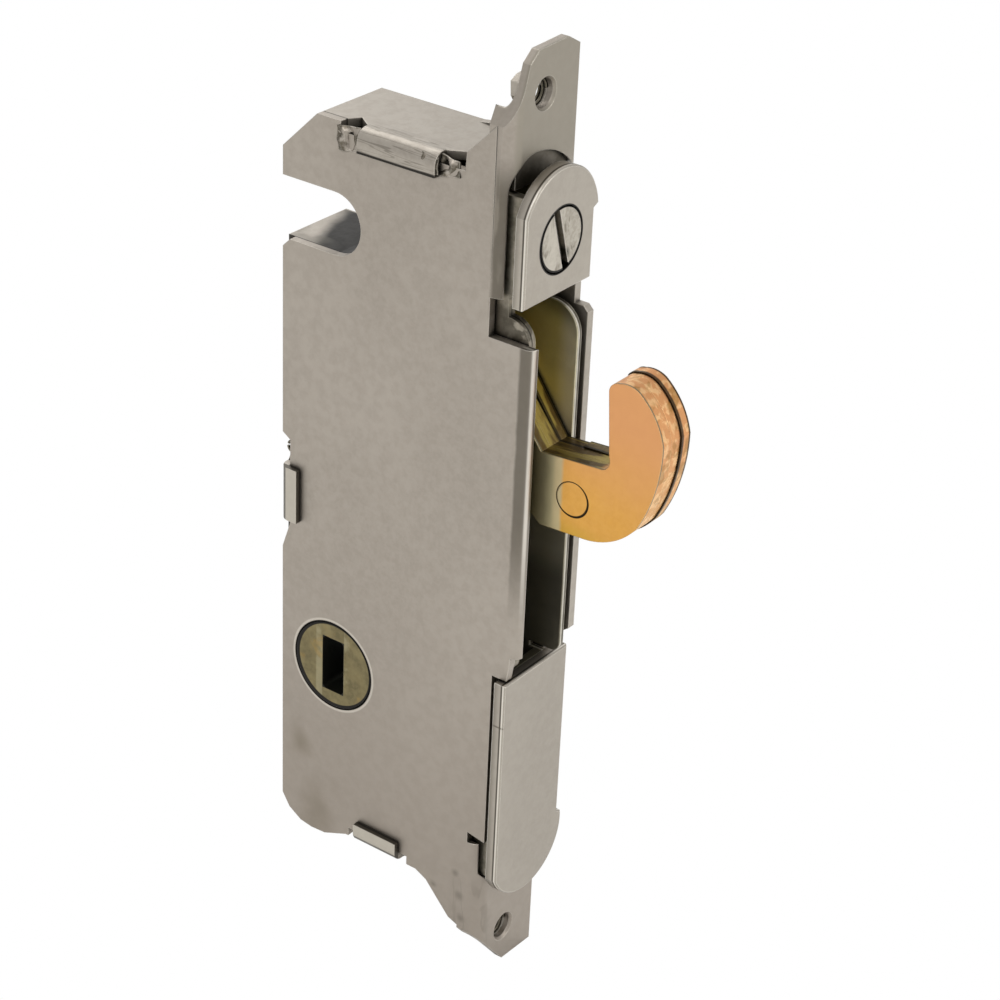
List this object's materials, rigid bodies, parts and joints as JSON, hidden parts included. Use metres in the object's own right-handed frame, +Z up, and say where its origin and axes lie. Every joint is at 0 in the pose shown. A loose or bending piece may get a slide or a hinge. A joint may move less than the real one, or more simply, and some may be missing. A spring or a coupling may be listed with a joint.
{
  "type": "sliding patio door lock",
  "caption": "Mortise hook lock for a sliding patio door, with a swinging hook, a hub for a handle's tailpiece and a screw that sets how far the hook stands out.",
  "frame": {"origin": "midway between the two ear screw holes, on the front face of the ears", "axes": "+Y into the door stile, +Z up along the lock's length, +X across its thickness away from the side with the crimped tabs"},
  "size_m": [0.0114, 0.0436, 0.1027],
  "materials": {
    "case_steel": "satin nickel plated sheet steel, faintly mottled",
    "face_steel": "satin nickel plated stamped steel",
    "yellow_zinc": "yellow zinc dichromate with uneven orange and gold tints",
    "hub_zinc": "olive yellow zinc dichromate on a die-cast hub",
    "inner_steel": "plain zinc plated steel"
  },
  "bodies": {
    "case": {"near_side_plate": "case_steel", "far_side_pan": "case_steel", "adjuster_nut": "inner_steel", "lower_guide_block": "inner_steel", "slide_guide_studs": "inner_steel", "spring_seat": "inner_steel", "lock_spring": "inner_steel"},
    "carriage": {"carriage_frame": "case_steel", "upper_face_plate": "face_steel", "lower_face_plate": "face_steel", "hook_pivot_pin": "inner_steel", "pivot_washer": "inner_steel"},
    "screw": {"adjusting_screw": "face_steel", "screw_clip": "inner_steel"},
    "hook": {"hook_main_plate": "yellow_zinc", "hook_middle_plate": "yellow_zinc", "hook_near_plate": "yellow_zinc", "hook_rivet": "yellow_zinc", "hook_inner_rivet": "yellow_zinc", "hook_tail_pin": "inner_steel"},
    "hub": {"drive_hub": "hub_zinc", "hub_arm": "inner_steel", "hub_arm_pin": "inner_steel"},
    "slide": {"drive_slide": "inner_steel"}
  },
  "joints": [
    {"name": "carriage_slide", "type": "slide", "parent": "case", "child": "carriage", "axis": [0, -1, 0], "range_m": [0, 0.004]},
    {"name": "screw_turn", "type": "hinge", "parent": "carriage", "child": "screw", "pos_m": [0, 0, 0.0334], "axis": [0, -1, 0], "range_deg": [0, 1814]},
    {"name": "hook_swing", "type": "hinge", "parent": "carriage", "child": "hook", "pos_m": [0, 0.007, 0.019], "axis": [1, 0, 0], "range_deg": [0, 80]},
    {"name": "hub_turn", "type": "hinge", "parent": "case", "child": "hub", "pos_m": [0, 0.02, -0.0198], "axis": [1, 0, 0], "range_deg": [-90, 0]},
    {"name": "slide_lift", "type": "slide", "parent": "case", "child": "slide", "axis": [0, 0, 1], "range_m": [0, 0.0099], "stiffness_N_per_m": 300, "springref_m": -0.004, "deforming": ["lock_spring"]}
  ],
  "couplings": [
    {"joint": "screw_turn", "follows": "carriage_slide", "rad_per_m": 7915},
    {"joint": "hub_turn", "follows": "slide_lift", "rad_per_m": -158.67},
    {"joint": "hook_swing", "follows": "slide_lift", "rad_per_m": 141.04}
  ]
}
